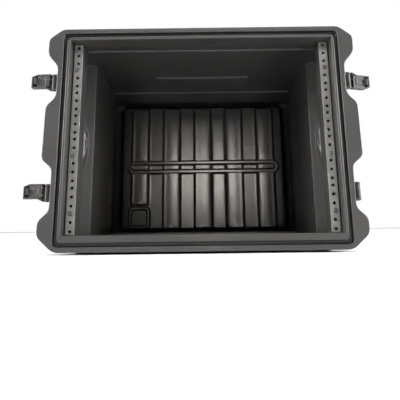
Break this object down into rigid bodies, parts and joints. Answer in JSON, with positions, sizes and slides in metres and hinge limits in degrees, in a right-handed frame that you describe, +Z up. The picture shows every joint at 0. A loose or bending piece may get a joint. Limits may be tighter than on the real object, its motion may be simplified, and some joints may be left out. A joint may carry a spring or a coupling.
{
  "type": "equipment rack case",
  "caption": "Moulded 19-inch equipment rack case with an open front, steel rack rails, side trigger latches, sprung side handles and a latched rear lid.",
  "frame": {"origin": "middle of the case, on the surface that its feet stand on", "axes": "+Z up, -Y out of the open front, +X to the right seen from the front, along the longest side"},
  "size_m": [0.6234, 0.4701, 0.411],
  "materials": {
    "shell": "dark grey moulded polyethylene with a fine grain",
    "seal": "soft black foam rubber",
    "rail": "light grey zinc-plated steel, satin",
    "steel": "bright zinc-plated steel",
    "latch": "dark grey glass-filled nylon, satin",
    "trigger": "darker blue-grey glass-filled nylon, satin",
    "dark_steel": "black powder-coated steel",
    "rubber": "black moulded rubber"
  },
  "bodies": {
    "case": {"case_body": "shell", "lid_seal": "seal", "rack_rail_left": "rail", "rail_screw_left_1": "steel", "rail_screw_left_2": "steel", "rail_screw_left_3": "steel", "handle_left_plate": "dark_steel", "foot_front_left": "rubber", "foot_rear_left": "rubber", "rack_rail_right": "rail", "rail_screw_right_1": "steel", "rail_screw_right_2": "steel", "rail_screw_right_3": "steel", "handle_right_plate": "dark_steel", "foot_front_right": "rubber", "foot_rear_right": "rubber", "latch_front_left_upper_base": "latch", "latch_front_left_upper_pin": "steel", "latch_front_left_lower_base": "latch", "latch_front_left_lower_pin": "steel", "latch_front_right_upper_base": "latch", "latch_front_right_upper_pin": "steel", "latch_front_right_lower_base": "latch", "latch_front_right_lower_pin": "steel", "latch_rear_left_upper_base": "latch", "latch_rear_left_upper_pin": "steel", "latch_rear_left_lower_base": "latch", "latch_rear_left_lower_pin": "steel", "latch_rear_right_upper_base": "latch", "latch_rear_right_upper_pin": "steel", "latch_rear_right_lower_base": "latch", "latch_rear_right_lower_pin": "steel"},
    "rear_lid": {"rear_lid": "shell"},
    "handle_left": {"handle_left_bail": "dark_steel", "handle_left_grip": "rubber"},
    "handle_right": {"handle_right_bail": "dark_steel", "handle_right_grip": "rubber"},
    "latch_front_left_upper_lever": {"latch_front_left_upper_lever": "latch"},
    "latch_front_left_upper_trigger": {"latch_front_left_upper_trigger": "trigger"},
    "latch_front_left_lower_lever": {"latch_front_left_lower_lever": "latch"},
    "latch_front_left_lower_trigger": {"latch_front_left_lower_trigger": "trigger"},
    "latch_front_right_upper_lever": {"latch_front_right_upper_lever": "latch"},
    "latch_front_right_upper_trigger": {"latch_front_right_upper_trigger": "trigger"},
    "latch_front_right_lower_lever": {"latch_front_right_lower_lever": "latch"},
    "latch_front_right_lower_trigger": {"latch_front_right_lower_trigger": "trigger"},
    "latch_rear_left_upper_lever": {"latch_rear_left_upper_lever": "latch"},
    "latch_rear_left_upper_trigger": {"latch_rear_left_upper_trigger": "trigger"},
    "latch_rear_left_lower_lever": {"latch_rear_left_lower_lever": "latch"},
    "latch_rear_left_lower_trigger": {"latch_rear_left_lower_trigger": "trigger"},
    "latch_rear_right_upper_lever": {"latch_rear_right_upper_lever": "latch"},
    "latch_rear_right_upper_trigger": {"latch_rear_right_upper_trigger": "trigger"},
    "latch_rear_right_lower_lever": {"latch_rear_right_lower_lever": "latch"},
    "latch_rear_right_lower_trigger": {"latch_rear_right_lower_trigger": "trigger"}
  },
  "joints": [
    {"name": "rear_lid_pull", "type": "slide", "parent": "case", "child": "rear_lid", "axis": [0, 1, 0], "range_m": [0, 0.09]},
    {"name": "handle_left_hinge", "type": "hinge", "parent": "case", "child": "handle_left", "pos_m": [-0.26, -0.0275, 0.243], "axis": [0, 1, 0], "range_deg": [0, 90], "stiffness_Nm_per_rad": 0.25, "springref_deg": -11.46},
    {"name": "handle_right_hinge", "type": "hinge", "parent": "case", "child": "handle_right", "pos_m": [0.26, -0.0275, 0.243], "axis": [0, -1, 0], "range_deg": [0, 90], "stiffness_Nm_per_rad": 0.25, "springref_deg": -11.46},
    {"name": "latch_front_left_upper_hinge", "type": "hinge", "parent": "case", "child": "latch_front_left_upper_lever", "pos_m": [-0.2705, -0.228, 0.306], "axis": [0, 0, -1], "range_deg": [-94, 78]},
    {"name": "latch_front_left_upper_press", "type": "hinge", "parent": "latch_front_left_upper_lever", "child": "latch_front_left_upper_trigger", "pos_m": [-0.29045, -0.22661, 0.306], "axis": [0, 0, -1], "range_deg": [0, 8], "stiffness_Nm_per_rad": 0.04, "springref_deg": -5.73},
    {"name": "latch_front_left_lower_hinge", "type": "hinge", "parent": "case", "child": "latch_front_left_lower_lever", "pos_m": [-0.2705, -0.228, 0.104], "axis": [0, 0, -1], "range_deg": [-94, 78]},
    {"name": "latch_front_left_lower_press", "type": "hinge", "parent": "latch_front_left_lower_lever", "child": "latch_front_left_lower_trigger", "pos_m": [-0.29045, -0.22661, 0.104], "axis": [0, 0, -1], "range_deg": [0, 8], "stiffness_Nm_per_rad": 0.04, "springref_deg": -5.73},
    {"name": "latch_front_right_upper_hinge", "type": "hinge", "parent": "case", "child": "latch_front_right_upper_lever", "pos_m": [0.2705, -0.228, 0.306], "axis": [0, 0, 1], "range_deg": [-104, 68]},
    {"name": "latch_front_right_upper_press", "type": "hinge", "parent": "latch_front_right_upper_lever", "child": "latch_front_right_upper_trigger", "pos_m": [0.28991, -0.22316, 0.306], "axis": [0, 0, 1], "range_deg": [0, 8], "stiffness_Nm_per_rad": 0.04, "springref_deg": -5.73},
    {"name": "latch_front_right_lower_hinge", "type": "hinge", "parent": "case", "child": "latch_front_right_lower_lever", "pos_m": [0.2705, -0.228, 0.104], "axis": [0, 0, 1], "range_deg": [-168, 4]},
    {"name": "latch_front_right_lower_press", "type": "hinge", "parent": "latch_front_right_lower_lever", "child": "latch_front_right_lower_trigger", "pos_m": [0.27466, -0.20844, 0.104], "axis": [0, 0, 1], "range_deg": [0, 8], "stiffness_Nm_per_rad": 0.04, "springref_deg": -5.73},
    {"name": "latch_rear_left_upper_hinge", "type": "hinge", "parent": "case", "child": "latch_rear_left_upper_lever", "pos_m": [-0.2705, 0.173, 0.306], "axis": [0, 0, 1], "range_deg": [0, 172]},
    {"name": "latch_rear_left_upper_press", "type": "hinge", "parent": "latch_rear_left_upper_lever", "child": "latch_rear_left_upper_trigger", "pos_m": [-0.2705, 0.193, 0.306], "axis": [0, 0, 1], "range_deg": [0, 8], "stiffness_Nm_per_rad": 0.04, "springref_deg": -5.73},
    {"name": "latch_rear_left_lower_hinge", "type": "hinge", "parent": "case", "child": "latch_rear_left_lower_lever", "pos_m": [-0.2705, 0.173, 0.104], "axis": [0, 0, 1], "range_deg": [0, 172]},
    {"name": "latch_rear_left_lower_press", "type": "hinge", "parent": "latch_rear_left_lower_lever", "child": "latch_rear_left_lower_trigger", "pos_m": [-0.2705, 0.193, 0.104], "axis": [0, 0, 1], "range_deg": [0, 8], "stiffness_Nm_per_rad": 0.04, "springref_deg": -5.73},
    {"name": "latch_rear_right_upper_hinge", "type": "hinge", "parent": "case", "child": "latch_rear_right_upper_lever", "pos_m": [0.2705, 0.173, 0.306], "axis": [0, 0, -1], "range_deg": [0, 172]},
    {"name": "latch_rear_right_upper_press", "type": "hinge", "parent": "latch_rear_right_upper_lever", "child": "latch_rear_right_upper_trigger", "pos_m": [0.2705, 0.193, 0.306], "axis": [0, 0, -1], "range_deg": [0, 8], "stiffness_Nm_per_rad": 0.04, "springref_deg": -5.73},
    {"name": "latch_rear_right_lower_hinge", "type": "hinge", "parent": "case", "child": "latch_rear_right_lower_lever", "pos_m": [0.2705, 0.173, 0.104], "axis": [0, 0, -1], "range_deg": [0, 172]},
    {"name": "latch_rear_right_lower_press", "type": "hinge", "parent": "latch_rear_right_lower_lever", "child": "latch_rear_right_lower_trigger", "pos_m": [0.2705, 0.193, 0.104], "axis": [0, 0, -1], "range_deg": [0, 8], "stiffness_Nm_per_rad": 0.04, "springref_deg": -5.73}
  ]
}
